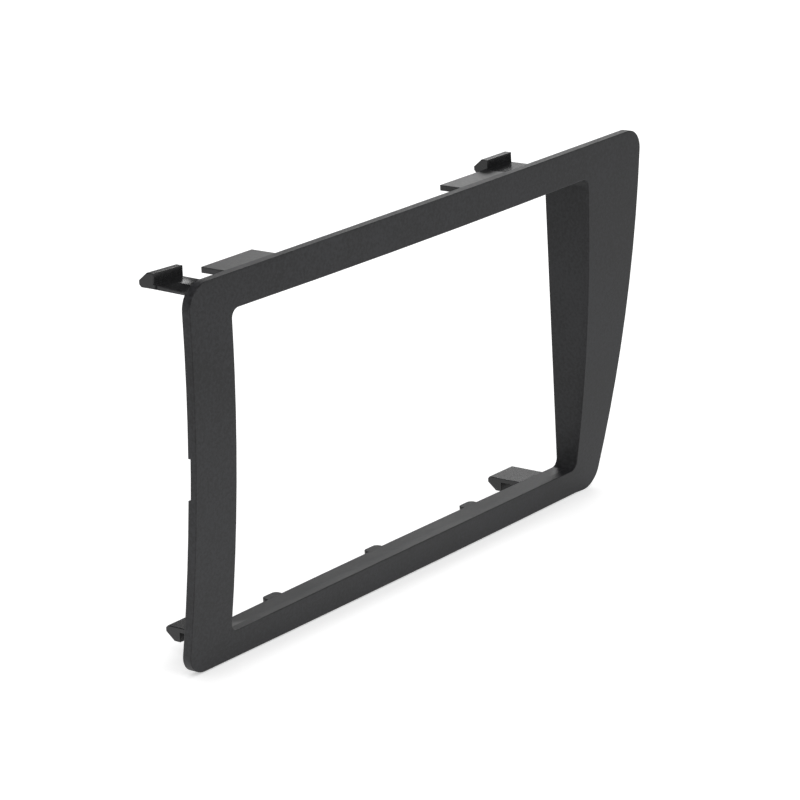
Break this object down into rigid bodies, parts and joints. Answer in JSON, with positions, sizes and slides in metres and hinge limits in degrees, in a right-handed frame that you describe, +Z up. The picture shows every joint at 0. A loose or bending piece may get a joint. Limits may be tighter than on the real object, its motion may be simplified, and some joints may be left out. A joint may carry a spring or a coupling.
{
  "type": "car radio mounting frame",
  "caption": "Black plastic dashboard trim frame around a double-height radio opening, with a crowned face, a collar and hook clips on its back.",
  "frame": {"origin": "centre of the radio opening in the flat plane of the collar's rear edge", "axes": "+X to the right seen from the front, +Y back into the dashboard, +Z up"},
  "size_m": [0.2306, 0.0326, 0.1268],
  "materials": {
    "black_plastic": "charcoal-black moulded plastic with a fine grain"
  },
  "bodies": {
    "root": {"mounting_frame": "black_plastic"}
  },
  "joints": []
}
